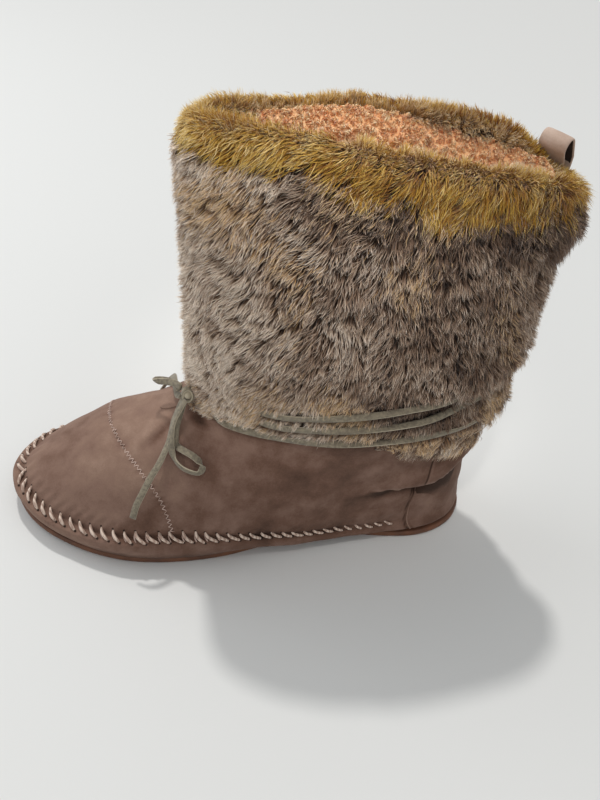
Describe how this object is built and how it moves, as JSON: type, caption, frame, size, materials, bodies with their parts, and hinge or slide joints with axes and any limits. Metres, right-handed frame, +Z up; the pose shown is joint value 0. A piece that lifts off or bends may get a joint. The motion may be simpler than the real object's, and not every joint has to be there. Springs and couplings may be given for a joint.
{
  "type": "moccasin boot",
  "caption": "Tall moccasin boot: soft suede foot with a whip-stitched rim, thin flat rubber sole, fur shaft with a fleece lining, and a thong wound round the ankle and tied in a bow.",
  "frame": {"origin": "middle of the heel's flat underside, where it stands on the ground", "axes": "+X towards the toe, +Y towards the wearer's left, which is the outer side of this left boot, +Z up"},
  "size_m": [0.2691, 0.1011, 0.2357],
  "materials": {
    "brown_rubber": "matte",
    "taupe_suede": "matte suede nap",
    "tab_suede": "matte suede nap",
    "khaki_thong": "matte",
    "grey_brown_fur": "deep pile",
    "insole_cloth": "short fleece"
  },
  "bodies": {
    "root": {"outsole": "brown_rubber", "insole": "insole_cloth", "upper": "taupe_suede", "heel_counter": "taupe_suede", "tongue": "tab_suede", "shaft": "grey_brown_fur", "lace_wrap": "khaki_thong", "pull_loop": "tab_suede", "lace_knot": "khaki_thong", "lace_loop_outer": "khaki_thong", "lace_loop_inner": "khaki_thong", "lace_end_outer": "khaki_thong", "lace_end_inner": "khaki_thong"}
  },
  "joints": []
}
